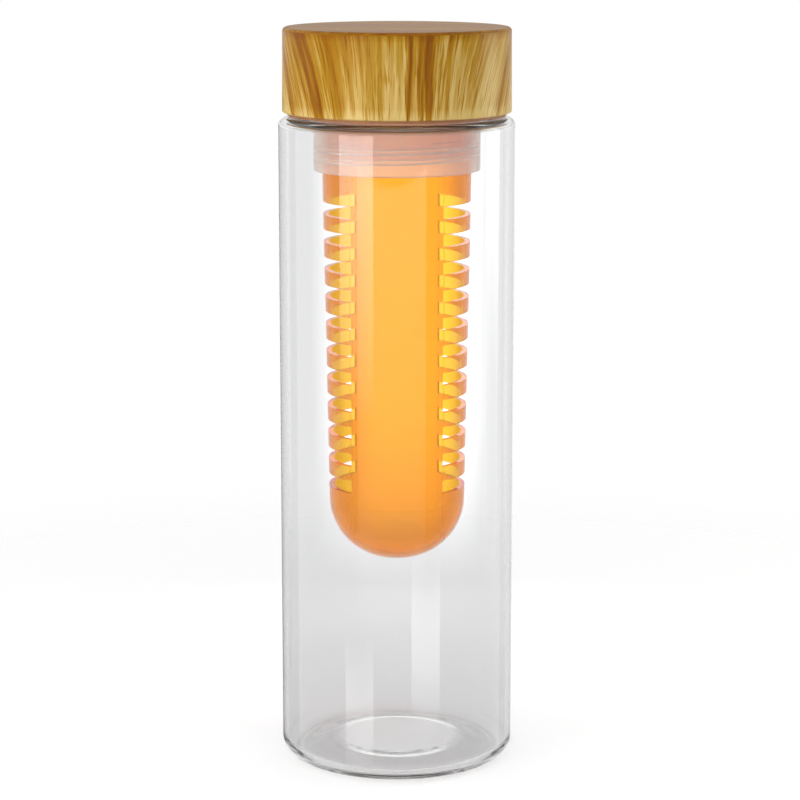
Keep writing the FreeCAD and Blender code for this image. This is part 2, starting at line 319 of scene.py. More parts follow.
def add_box(name: str, low: Vector, high: Vector) -> Piece:
    """Add a box between two corners, its place in its mesh.

    Args:
        name: The box's name.
        low: The lowest corner, in millimetres.
        high: The highest corner, in millimetres.

    Returns:
        The box.
    """
    box = add_object(name, bpy.ops.mesh.primitive_cube_add, size=1,
                     location=(low + high) / 2 * MM, scale=(high - low) * MM)
    bpy.ops.object.transform_apply(location=True, rotation=True, scale=True)
    return box


def ring_of(box: Piece, count: int) -> Piece:
    """Repeat a box evenly round the bottle's axis, in one mesh.

    Args:
        box: The first box.
        count: How many boxes the ring has.

    Returns:
        The same object, with all the boxes.
    """
    choose(box)
    edit_all()
    bpy.ops.mesh.spin(steps=count - 1, dupli=True, angle=FULL_TURN * (count - 1) / count, **UPRIGHT)
    close_mesh()
    return box


def work_into(piece: Piece, tool: Piece, how: Join) -> None:
    """Join a tool mesh to a piece or cut it away, and remove the tool."""
    modify(piece, "BOOLEAN", operation=how.value, solver="EXACT", object=tool)
    bpy.data.objects.remove(tool)


def soften(piece: Piece, width: float, angle: float = HARD_EDGE) -> None:
    """Take a piece's edges that turn by more than an angle in degrees back by a width in millimetres."""
    modify(piece, "BEVEL", width=width * MM, segments=SOFT_EDGE_PARTS, limit_method="ANGLE",
           angle_limit=math.radians(angle), use_clamp_overlap=True)


@dataclass(frozen=True)
class Thread:
    """A right-hand ridge wound round the bottle's axis, in millimetres.

    Attributes:
        root: Radius of the ridge's foot, a little inside the wall.
        crest: Radius of the ridge's top.
        start: Height of the ridge's middle where it starts, on the +X side.
        pitch: Rise in one turn.
        turns: How many turns it makes.
        edge: How far its edges are softened.
        root_share: The foot's width as a share of the pitch.
        crest_share: The top's width as a share of the pitch.
    """

    root: float
    crest: float
    start: float
    pitch: float
    turns: float
    edge: float
    root_share: float = 0.58
    crest_share: float = 0.27

    def laps(self) -> int:
        """Return how many passes the winding takes."""
        return math.ceil(self.turns)

    def lap_steps(self) -> int:
        """Return how many steps one pass of the winding takes."""
        return round(THREAD_STEPS * self.turns / self.laps())

    def outline(self) -> list[Corner]:
        """Lay out the ridge's section where it starts.

        Returns:
            Its four corners.
        """
        root_half = self.pitch * self.root_share / 2
        crest_half = self.pitch * self.crest_share / 2
        return [
            Corner(self.root, self.start - root_half),
            Corner(self.crest, self.start - crest_half),
            Corner(self.crest, self.start + crest_half),
            Corner(self.root, self.start + root_half),
        ]

    def wind(self, name: str) -> Piece:
        """Wind the ridge as a closed mesh whose two ends run out into the wall.

        Args:
            name: The ridge's name.

        Returns:
            The ridge.
        """
        ridge = draw_outline(name, self.outline(), closed=True)
        bpy.ops.object.mode_set(mode="OBJECT")
        share = self.turns / self.laps()
        modify(ridge, "SCREW", axis="Z", iterations=self.laps(), angle=FULL_TURN * share,
               screw_offset=self.pitch * share * MM, steps=self.lap_steps(),
               render_steps=self.lap_steps(), use_merge_vertices=False)
        edit_all()
        bpy.ops.mesh.remove_doubles(threshold=MERGE_DISTANCE)
        bpy.ops.mesh.select_all(action="DESELECT")
        bpy.ops.mesh.select_non_manifold()
        bpy.ops.mesh.fill_holes(sides=0)
        self.run_out(ridge)
        close_mesh()
        return ridge

    def run_out(self, ridge: Piece) -> None:
        """Lower the crest towards the wall over the first and last few steps.

        Args:
            ridge: The ridge in edit mode.
        """
        total = self.lap_steps() * self.laps()
        half = Vector((0, 0, self.pitch * self.crest_share / 2))
        for step in range(RUN_OUT_STEPS):
            drop = (self.root - self.crest) * (1 - step / RUN_OUT_STEPS)
            for share in (step / total, 1 - step / total):
                turned = share * self.turns
                angle = FULL_TURN * turned
                outward = Vector((math.cos(angle), math.sin(angle), 0.0))
                middle = outward * self.crest + Vector((0, 0, self.start + self.pitch * turned))
                pick_points(ridge, [(middle - half) * MM, (middle + half) * MM])
                bpy.ops.transform.translate(value=outward * drop * MM)

    def raise_on(self, piece: Piece) -> None:
        """Wind the ridge, soften its edges and join it to a piece.

        Args:
            piece: The piece that carries the thread.
        """
        ridge = self.wind(f"{piece.name}_ridge")
        soften(ridge, self.edge, RIDGE_EDGE)
        work_into(piece, ridge, Join.ADD)


@dataclass(frozen=True)
class Pattern:
    """A noise pattern.

    Attributes:
        scale: How fine it is.
        detail: How many finer layers it has.
        roughness: How strong the finer layers are.
        distortion: How much it is bent.
        stretch: How many pattern units one millimetre makes along X, Y and Z.
    """

    scale: float
    detail: float
    roughness: float = 0.55
    distortion: float = 0.0
    stretch: Triple = (1.0, 1.0, 1.0)


FLOW_LINES = Pattern(0.09, 2.0, stretch=(1.0, 1.0, 0.12))
RUB_MARKS = Pattern(0.8, 6.0, 0.7, stretch=(1.0, 1.0, 0.35))
MOULD_CLOUD = Pattern(0.25, 3.0)
SATIN_GRAIN = Pattern(6.0, 3.0)
PAPER_FIBRE = Pattern(0.4, 4.0)
BROAD_GRAIN = Pattern(0.12, 3.0, 0.5, 0.6)
FINE_GRAIN = Pattern(0.8, 6.0, 0.65, 0.2)
WOOD_HAIRS = Pattern(1.9, 2.0, 0.5, 0.3)
WOOD_WARMTH = Pattern(0.2, 3.0, 0.5, 0.4)
STREAK_WANDER = Pattern(0.35, 4.0)


class Board:
    """The node tree of a material, a lamp or the surroundings, with short calls to add and join nodes."""

    def __init__(self, owner: bpy.types.ID, target: Target = Target.MATERIAL) -> None:
        """Start a tree with only its output node.

        Args:
            owner: The material, lamp or world that has the tree.
            target: Which of them it is.
        """
        self.owner = owner
        owner.use_nodes = True
        self.tree = owner.node_tree
        self.tree.nodes.clear()
        self.output = self.add(target.value)

    def add(self, kind: str, *values: object, setting: tuple[str, str] | None = None,
            **named: object) -> bpy.types.Node:
        """Add a node, and set or join its inputs.

        Args:
            kind: The node's type, without the start that all shader nodes share.
            *values: Values for its first inputs, in order.
            setting: One of the node's own properties and its value.
            **named: Values for inputs by name, with underscores for spaces.

        Returns:
            The node.
        """
        node = self.tree.nodes.new(f"ShaderNode{kind}")
        if setting:
            setattr(node, *setting)
        for socket, value in zip(node.inputs, values):
            self.feed(socket, value)
        for name, value in named.items():
            self.feed(node.inputs[name.replace("_", " ")], value)
        return node

    def feed(self, socket: Socket, value: object) -> None:
        """Join a socket to an output, or set its value where a plain one is given.

        Args:
            socket: The input socket.
            value: A node, whose first output is taken, an output socket, or a number, colour or vector.
        """
        if isinstance(value, bpy.types.Node):
            value = value.outputs[0]
        if isinstance(value, Socket):
            self.tree.links.new(value, socket)
        else:
            socket.default_value = value

    def finish(self, surface: bpy.types.Node, volume: bpy.types.Node | None = None) -> bpy.types.ID:
        """Join the finished shader to the tree's output.

        Args:
            surface: The shader of the surface.
            volume: The shader of what lies inside, where there is one.

        Returns:
            What the tree belongs to.
        """
        self.feed(self.output.inputs["Surface"], surface)
        if volume is not None:
            self.feed(self.output.inputs["Volume"], volume)
        return self.owner

    def math(self, operation: str, *values: object) -> Socket:
        """Return the result of a Math node's operation on one to three values."""
        return self.add("Math", *values, setting=("operation", operation)).outputs[0]

    def place(self, stretch: Triple = (1.0, 1.0, 1.0)) -> Socket:
        """Return the piece's own coordinates in millimetres, stretched along X, Y and Z."""
        spot = self.add("TexCoord").outputs["Object"]
        return self.add("Mapping", Vector=spot, Scale=[factor / MM for factor in stretch]).outputs[0]

    def split(self, vector: Socket) -> Axes:
        """Return a vector's X, Y and Z."""
        return tuple(self.add("SeparateXYZ", vector).outputs)

    def noise(self, pattern: Pattern, place: Socket | None = None) -> Socket:
        """Return a noise pattern's value, on the piece's own coordinates or on a given place."""
        vector = self.place(pattern.stretch) if place is None else place
        return self.add("TexNoise", Vector=vector, Scale=pattern.scale, Detail=pattern.detail,
                        Roughness=pattern.roughness, Distortion=pattern.distortion).outputs["Fac"]

    def spread(self, value: Socket, low: float, high: float, start: float = NOISE_LOW,
               end: float = NOISE_HIGH, fall: Fall = Fall.EVEN) -> Socket:
        """Return a value with its range from start to end spread over low to high, and held beyond it."""
        return self.add("MapRange", value, start, end, low, high,
                        setting=("interpolation_type", fall.value)).outputs["Result"]

    def ramp(self, value: Socket, stops: list[tuple[float, Colour]]) -> Socket:
        """Turn a value into colours.

        Args:
            value: The value, from 0 to 1.
            stops: Positions and their colours, in order.

        Returns:
            The colour.
        """
        node = self.add("ValToRGB", value)
        elements = node.color_ramp.elements
        elements.remove(elements[1])
        for index, (position, colour) in enumerate(stops):
            element = elements[0] if index == 0 else elements.new(position)
            element.position = position
            element.color = (*colour, 1.0)
        return node.outputs["Color"]

    def mix(self, blend: Blend, share: Socket, first: Socket, second: Socket) -> Socket:
        """Blend two vectors or two colours.

        Args:
            blend: Which of them they are.
            share: The second one's share.
            first: The first one.
            second: The second one.

        Returns:
            The blended one.
        """
        data_type, start, end = blend.value
        node = self.add("Mix", share, setting=("data_type", data_type))
        self.feed(node.inputs[start], first)
        self.feed(node.inputs[start + 1], second)
        return node.outputs[end]

    def bump(self, height: Socket, strength: float, depth: float) -> Socket:
        """Return the normal of fine relief whose depth is given in millimetres."""
        return self.add("Bump", Height=height, Strength=strength, Distance=depth * MM).outputs[0]

    def seen(self) -> Socket:
        """Tell rays that show the surroundings from rays that only light the object.

        Returns:
            1 for camera, mirror and see-through rays, and 0 for others.
        """
        rays = self.add("LightPath").outputs
        shown = self.math("MAXIMUM", rays["Is Camera Ray"], rays["Is Glossy Ray"])
        return self.math("MAXIMUM", shown, rays["Is Transmission Ray"])


def new_board(name: str) -> Board:
    """Return the empty node tree of a new material."""
    return Board(bpy.data.materials.new(name))


def from_screen(*shares: int) -> Colour:
    """Return the linear colour that shaders use for a screen colour's three shares of 0 to 255."""
    return tuple(Color([share / SCREEN_WHITE for share in shares]).from_srgb_to_scene_linear())


@dataclass(frozen=True)
class MouldedClear:
    """A see-through moulded plastic that deepens in colour as it gets thicker.

    Attributes:
        name: The material's name.
        tint: Share of light that passes one wall, by colour.
        body: Share of light behind the haze, from 0 to 1, that passes straight through.
        depth_colour: Colour that long paths in the plastic turn to.
        depth: Density of that colour, for each metre.
        ior: Index of refraction.
        sheen: Colour of its mirror reflections seen straight on.
        gloss: Lowest and highest roughness.
        ripple: Depth of the flow lines, in millimetres.
        shade: Colour of the light that it lets through to what lies in its shadow.
        foot: Share of light that passes one wall at its foot, where that differs; the darker tint there is
            painted shade.
        foot_span: Heights between which the foot's share turns into the tint, in millimetres.
        cut_plane: Distance of its matte cut faces to either side of the middle, in millimetres.
        cut_reach: Distances from that plane between which the matte ends, in millimetres.
        cut_roughness: Roughness of the cut faces.
    """

    name: str
    tint: Colour
    body: float
    depth_colour: Colour
    depth: float
    ior: float
    sheen: Colour
    gloss: Span
    ripple: float
    shade: Colour
    foot: Colour | None = None
    foot_span: Span = (0.0, 1.0)
    cut_plane: float | None = None
    cut_reach: Span = (0.03, 0.06)
    cut_roughness: float = 0.8

    def wall_colour(self, board: Board) -> Socket | tuple[float, ...]:
        """Give the colour of one wall, darker at the foot where there is one, as painted shade.

        Args:
            board: The material's node tree.

        Returns:
            A colour, or the socket that makes it.
        """
        if self.foot is None:
            return (*self.tint, 1.0)
        rise = board.spread(board.split(board.place())[2], 0.0, 1.0, *self.foot_span)
        return board.ramp(rise, [(0.0, self.foot), (1.0, self.tint)])

    def roughness(self, board: Board) -> Socket:
        """Give the roughness, fine all over and matte on cut faces.

        Args:
            board: The material's node tree.

        Returns:
            The socket that makes it.
        """
        fine = board.spread(board.noise(RUB_MARKS), *self.gloss)
        if self.cut_plane is None:
            return fine
        aside = board.math("ABSOLUTE", board.split(board.place())[0])
        away = board.math("ABSOLUTE", board.math("SUBTRACT", aside, self.cut_plane))
        return board.math("MAXIMUM", fine, board.spread(away, self.cut_roughness, 0.0, *self.cut_reach))

    def material(self) -> bpy.types.Material:
        """Make the material.

        Returns:
            The finished material.
        """
        board = new_board(self.name)
        plastic = board.add(
            "BsdfPrincipled",
            Base_Color=self.wall_colour(board),
            Transmission_Weight=self.body,
            IOR=self.ior,
            Specular_Tint=(*self.sheen, 1.0),
            Roughness=self.roughness(board),
            Normal=board.bump(board.noise(FLOW_LINES), 1.0, self.ripple),
        )
        clear = board.add("BsdfTransparent", Color=(*self.shade, 1.0))
        shadow = board.add("LightPath").outputs["Is Shadow Ray"]
        depth = board.add("VolumeAbsorption", Color=(*self.depth_colour, 1.0), Density=self.depth)
        return board.finish(board.add("MixShader", shadow, plastic, clear), depth)


@dataclass(frozen=True)
class MouldedOpaque:
    """A solid moulded plastic or rubber with a fine satin grain.

    Attributes:
        name: The material's name.
        low: Its darker colour.
        high: Its lighter colour.
        gloss: Lowest and highest roughness.
        grain: Depth of the grain, in millimetres.
        glow: Share of light that spreads inside it.
        glow_reach: How far that light spreads, in millimetres.
        cloud_levels: Pattern values at which the two colours stand.
        grain_strength: How strongly the grain shows, from 0 to 1.
    """

    name: str
    low: Colour
    high: Colour
    gloss: Span
    grain: float
    glow: float = 0.0
    glow_reach: float = 2.0
    cloud_levels: Span = (0.35, 0.65)
    grain_strength: float = 0.5

    def material(self) -> bpy.types.Material:
        """Make the material.

        Returns:
            The finished material.
        """
        board = new_board(self.name)
        cloud = board.noise(MOULD_CLOUD)
        return board.finish(board.add(
            "BsdfPrincipled",
            Base_Color=board.ramp(cloud, list(zip(self.cloud_levels, (self.low, self.high)))),
            Roughness=board.spread(cloud, *self.gloss),
            Normal=board.bump(board.noise(SATIN_GRAIN), self.grain_strength, self.grain),
            Subsurface_Weight=self.glow,
            Subsurface_Scale=self.glow_reach * MM,
        ))


@dataclass(frozen=True)
class Streak:
    """One dark streak of the wood, at the place round the cap where it runs.

    Attributes:
        angle: Where it runs, in degrees to the right of the front.
        width: Half its width, in degrees.
        strength: How much darker it is.
        section: Places across it, as shares of half its width, and the share of its strength at each.
    """

    angle: float
    width: float
    strength: float
    section: tuple[Span, ...] = ((-1.0, 0.0), (-0.3, 1.0), (0.3, 0.8), (1.0, 0.0))

    def stops(self) -> list[tuple[float, Colour]]:
        """Return the streak as stops of a ramp that runs once round the cap from the back."""
        return [((self.angle + shift * self.width + 180) / 360, (self.strength * share,) * 3)
                for shift, share in self.section]


@dataclass(frozen=True)
class WoodLook:
    """A printed wood grain under satin lacquer: upright streaks round the side, straight ones across the top.

    Attributes:
        name: The material's name.
        cool: The sapwood's colours, from dark to pale.
        warm: The heartwood's colours, from dark to pale.
        streaks: The strongest streaks, in order round the cap.
        edge: Height where the side turns into the top, in millimetres.
        lip: Height of the lower lip, in millimetres.
        middle: Height at which the streaks stand at their own angles, in millimetres.
        lean: How much the streaks draw together towards the bottom, for each millimetre.
        gloss: Lowest and highest roughness.
        tones: Tones at which the four colours stand.
        lift: Tone added all over.
        slope: Tone added at the lip and at the edge, changing evenly between them.
        rim: Tone taken off at the edge, and the width of that band in millimetres.
        lip_highlight: Tone added at the lower lip as a painted highlight, and the width of that band in
            millimetres.
        hairs: Tone taken off by the fine dark hairs.
        hair_levels: Pattern values between which a hair ends.
        warm_levels: Pattern values between which sapwood turns into heartwood.
        streak_warmth: How fast a streak turns to heartwood with its strength.
        wander: How far a streak wanders to either side, in radians.
        along: Pattern units for each millimetre along the grain.
        seam: Half the height over which the side's grain turns into the top's, in millimetres.
        shine: Strength of the lacquer's mirror reflections.
        relief: How strongly the grain's relief shows, and its depth in millimetres.
    """

    name: str
    cool: tuple[Colour, ...]
    warm: tuple[Colour, ...]
    streaks: tuple[Streak, ...]
    edge: float
    lip: float
    middle: float
    lean: float
    gloss: Span
    tones: tuple[float, ...] = (0.22, 0.38, 0.50, 0.64)
    lift: float = 0.018
    slope: Span = (0.050, -0.048)
    rim: Span = (0.10, 2.2)
    lip_highlight: Span = (0.12, 3.5)
    hairs: float = 0.18
    hair_levels: Span = (0.33, 0.45)
    warm_levels: Span = (0.42, 0.62)
    streak_warmth: float = 5.0
    wander: float = 0.07
    along: float = 0.045
    seam: float = 0.1
    shine: float = 0.12
    relief: Span = (0.35, 0.05)

    def turned(self, board: Board, axes: Axes) -> Socket:
        """Measure the angle round the cap, drawn together towards the bottom.

        Args:
            board: The material's node tree.
            axes: The coordinates, in millimetres.

        Returns:
            The angle to the right of the front, in radians.
        """
        front = board.math("ARCTAN2", axes[0], board.math("MULTIPLY", axes[1], -1.0))
        depth = board.math("SUBTRACT", self.middle, axes[2])
        aside = board.math("SINE", front)
        bend = board.math("MULTIPLY", aside, board.math("ABSOLUTE", aside))
        return board.math("MULTIPLY_ADD", bend, board.math("MULTIPLY", depth, self.lean), front)

    def grain_place(self, board: Board, axes: Axes, turned: Socket) -> Socket:
        """Stretch the grain upwards on the side, and sideways on the top.

        Args:
            board: The material's node tree.
            axes: The coordinates, in millimetres.
            turned: The angle round the cap.

        Returns:
            The stretched coordinates.
        """
        across = board.math("MULTIPLY", axes[1], axes[1])
        radius = board.math("SQRT", board.math("MULTIPLY_ADD", axes[0], axes[0], across))
        side = board.add(
            "CombineXYZ",
            board.math("MULTIPLY", radius, board.math("SINE", turned)),
            board.math("MULTIPLY", radius, board.math("COSINE", turned)),
            board.math("MULTIPLY", axes[2], self.along),
        )
        over = board.spread(axes[2], 0.0, 1.0, self.edge - self.seam, self.edge + self.seam)
        return board.mix(Blend.VECTORS, over, side.outputs[0], board.place((self.along, 1.0, 1.0)))

    def streak_level(self, board: Board, height: Socket, turned: Socket, place: Socket) -> Socket:
        """Lay the strong streaks round the side.

        Args:
            board: The material's node tree.
            height: The height, in millimetres.
            turned: The angle round the cap.
            place: The stretched coordinates, which make the streaks wander.

        Returns:
            How strong a streak is there, 0 between the streaks and on the top.
        """
        wander = board.spread(board.noise(STREAK_WANDER, place), -self.wander, self.wander)
        angle = board.spread(board.math("ADD", turned, wander), 0.0, 1.0, -math.pi, math.pi)
        stops = [(0.0, (0.0, 0.0, 0.0))]
        for streak in self.streaks:
            stops += streak.stops()
        side = board.spread(height, 1.0, 0.0, self.edge - 2 * self.seam, self.edge + self.seam)
        return board.math("MULTIPLY", board.ramp(angle, stops), side)

    def tone(self, board: Board, height: Socket, place: Socket, fine: Socket, streak: Socket) -> Socket:
        """Work out how pale the wood is, with a painted highlight along the lower lip.

        Args:
            board: The material's node tree.
            height: The height, in millimetres.
            place: The stretched coordinates.
            fine: The fine grain.
            streak: How strong a streak is there.

        Returns:
            The tone.
        """
        broad = board.noise(BROAD_GRAIN, place)
        hairs = board.spread(board.noise(WOOD_HAIRS, place), self.hairs, 0.0, *self.hair_levels)
        rim_tone, rim_width = self.rim
        rim = board.spread(height, 0.0, rim_tone, self.edge - rim_width, self.edge)
        # Painted highlight: the wood is made paler along the lower lip.
        highlight_tone, highlight_width = self.lip_highlight
        lip_highlight = board.spread(height, highlight_tone, 0.0, self.lip, self.lip + highlight_width)
        slope = board.spread(height, *self.slope, self.lip, self.edge)
        both = board.math("ADD", broad, fine)
        tone = board.math("MULTIPLY_ADD", both, 0.5, self.lift)
        for darker in (streak, hairs, rim):
            tone = board.math("SUBTRACT", tone, darker)
        for paler in (lip_highlight, slope):
            tone = board.math("ADD", tone, paler)
        return tone

    def material(self) -> bpy.types.Material:
        """Make the material.

        Returns:
            The finished material.
        """
        board = new_board(self.name)
        axes = board.split(board.place())
        turned = self.turned(board, axes)
        place = self.grain_place(board, axes, turned)
        fine = board.noise(FINE_GRAIN, place)
        streak = self.streak_level(board, axes[2], turned, place)
        tone = self.tone(board, axes[2], place, fine, streak)
        warmth = board.spread(board.noise(WOOD_WARMTH, place), 0.0, 1.0, *self.warm_levels)
        warmth = board.math("MAXIMUM", warmth, board.math("MULTIPLY", streak, self.streak_warmth))
        cool, warm = (board.ramp(tone, list(zip(self.tones, shades))) for shades in (self.cool, self.warm))
        return board.finish(board.add(
            "BsdfPrincipled",
            Base_Color=board.mix(Blend.COLOURS, warmth, cool, warm),
            Roughness=board.spread(fine, *self.gloss),
            Specular_IOR_Level=self.shine,
            Normal=board.bump(tone, *self.relief),
        ))


@dataclass(frozen=True)
class StudioFloor:
    """A white paper floor that keeps shadows, fades into the white surroundings and is clear from below.

    Attributes:
        name: The material's name.
        paper: The paper's lightness.
        fibre: Lightness of its darkest fibres, as a share of the paper's.
        fibre_levels: Pattern values at which the fibres and the paper stand.
        lift: Light added where the paper is seen, so that bare paper is white.
        fade: Radii between which the floor gives way to the surroundings, in metres.
    """

    name: str = "white_paper"
    paper: float = 0.88
    fibre: float = 0.99
    fibre_levels: Span = (NOISE_LOW, NOISE_HIGH)
    lift: float = 0.27
    fade: Span = (0.15, 0.38)

    def material(self) -> bpy.types.Material:
        """Make the material.

        Returns:
            The finished material.
        """
        board = new_board(self.name)
        shades = [(self.paper * share,) * 3 for share in (self.fibre, 1.0)]
        colour = board.ramp(board.noise(PAPER_FIBRE), list(zip(self.fibre_levels, shades)))
        glow = board.add("Emission", Strength=board.math("MULTIPLY", board.seen(), self.lift))
        sheet = board.add("AddShader", board.add("BsdfDiffuse", Color=colour), glow)
        distance = board.add("VectorMath", board.place((MM, MM, MM)), setting=("operation", "LENGTH"))
        edge = board.spread(distance.outputs["Value"], 0.0, 1.0, *self.fade)
        below = board.add("NewGeometry").outputs["Backfacing"]
        air = board.add("BsdfTransparent")
        return board.finish(board.add("MixShader", board.math("MAXIMUM", edge, below), sheet, air))


CLEAR = MouldedClear(
    name="clear_plastic", tint=(0.900, 0.901, 0.903), body=1.0,
    depth_colour=(0.40, 0.405, 0.415), depth=10.0, ior=1.5,
    sheen=(0.35, 0.35, 0.35), gloss=(0.02, 0.05), ripple=0.03, shade=(0.995, 0.995, 0.995),
    # The darker foot tint is painted shade on the lower wall.
    foot=(0.812, 0.813, 0.815), foot_span=(25.0, 80.0),
)
ORANGE = MouldedClear(
    name="orange_plastic", tint=(1.0, 0.85, 0.30), body=0.96,
    depth_colour=(0.999, 0.825, 0.0), depth=1400.0, ior=1.53,
    sheen=(1.0, 0.5, 0.08), gloss=(0.03, 0.07), ripple=0.012, shade=(1.0, 0.82, 0.50),
    cut_plane=SLOT_PLANE,
)
# The collar's pinkish warm tint is painted light: it stands in for orange light thrown from the basket
# inside.
FROSTED = MouldedClear(
    name="frosted_plastic", tint=(1.0, 0.91, 0.83), body=0.74,
    depth_colour=(0.85, 0.80, 0.76), depth=5.0, ior=1.42,
    sheen=(1.0, 1.0, 1.0), gloss=(0.12, 0.18), ripple=0.015, shade=(0.98, 0.97, 0.96),
)
LINER = MouldedOpaque(
    name="dark_liner", low=from_screen(150, 98, 54), high=from_screen(172, 116, 68),
    gloss=(0.50, 0.62), grain=0.02,
)
SILICONE = MouldedOpaque(
    name="silicone", low=from_screen(214, 212, 206), high=from_screen(228, 226, 222),
    gloss=(0.42, 0.58), grain=0.015, glow=0.4,
)
WOOD = WoodLook(
    name="wood_look",
    cool=(from_screen(138, 82, 0), from_screen(164, 114, 12),
          from_screen(186, 143, 38), from_screen(224, 194, 118)),
    warm=(from_screen(136, 76, 0), from_screen(160, 103, 2),
          from_screen(183, 133, 28), from_screen(222, 188, 114)),
    streaks=(
        Streak(-72.0, 4.0, 0.10),
        Streak(-48.5, 6.5, 0.24),
        Streak(-33.5, 3.0, 0.12),
        Streak(5.5, 4.4, 0.30),
        Streak(16.0, 4.4, 0.32),
        Streak(25.5, 2.6, 0.14),
        Streak(118.0, 9.0, 0.14),
    ),
    edge=225.9, lip=CAP_LIP, middle=214.0, lean=0.020, gloss=(0.24, 0.36),
)


def dress(piece: Piece, material: bpy.types.Material, body: Body, node: str) -> Piece:
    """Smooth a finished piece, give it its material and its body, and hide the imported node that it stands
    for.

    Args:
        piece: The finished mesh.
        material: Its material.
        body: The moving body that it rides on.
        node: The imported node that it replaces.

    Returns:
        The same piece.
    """
    choose(piece)
    bpy.ops.object.shade_smooth_by_angle(angle=math.radians(SMOOTH_EDGE))
    modify(piece, "WEIGHTED_NORMAL", keep_sharp=True)
    piece.data.materials.clear()
    piece.data.materials.append(material)
    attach(piece, body.value)
    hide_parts(node)
    return piece


@dataclass
class ClearBottle:
    """The one-piece clear bottle: raised base, straight wall, flat shoulder and threaded neck."""

    radius: float = 36.0
    bore: float = 34.2
    shoulder: float = 199.8
    ceiling: float = 197.8
    shoulder_round: float = 2.8
    inner_shoulder_round: float = 1.0
    heel_round: float = 5.3
    inner_heel_round: float = 3.5
    base_wall: float = 2.6
    standing_ring: float = 27.5
    punt_radius: float = 19.5
    punt_rise: float = 2.4
    punt_round: float = 12.0
    neck_radius: float = 28.6
    neck_bore: float = 26.8
    neck_top: float = 219.7
    neck_root_round: float = 0.6
    rim_round: float = 0.6
    thread: Thread = Thread(root=28.3, crest=30.0, start=205.0, pitch=4.0, turns=1.25, edge=0.2)

    def outline(self) -> list[Corner]:
        """Lay out half the bottle's section.

        Returns:
            Its corners, from the underside's middle round to the floor's middle.
        """
        floor = self.punt_rise + self.base_wall
        return [
            Corner(0.0, self.punt_rise),
            Corner(self.punt_radius, self.punt_rise, self.punt_round),
            Corner(self.standing_ring, 0.0, self.punt_round),
            Corner(self.radius, 0.0, self.heel_round),
            Corner(self.radius, self.shoulder, self.shoulder_round),
            Corner(self.neck_radius, self.shoulder, self.neck_root_round),
            Corner(self.neck_radius, self.neck_top, self.rim_round),
            Corner(self.neck_bore, self.neck_top, self.rim_round),
            Corner(self.neck_bore, self.ceiling, self.neck_root_round),
            Corner(self.bore, self.ceiling, self.inner_shoulder_round),
            Corner(self.bore, self.base_wall, self.inner_heel_round),
            Corner(self.standing_ring, self.base_wall, self.punt_round),
            Corner(self.punt_radius, floor, self.punt_round),
            Corner(0.0, floor),
        ]

    def build(self) -> list[Piece]:
        """Model and dress the bottle.

        Returns:
            The bottle's one piece.
        """
        piece = turn_outline("bottle_clear", self.outline())
        self.thread.raise_on(piece)
        return [dress(piece, CLEAR.material(), Body.BOTTLE, "bottle_body")]


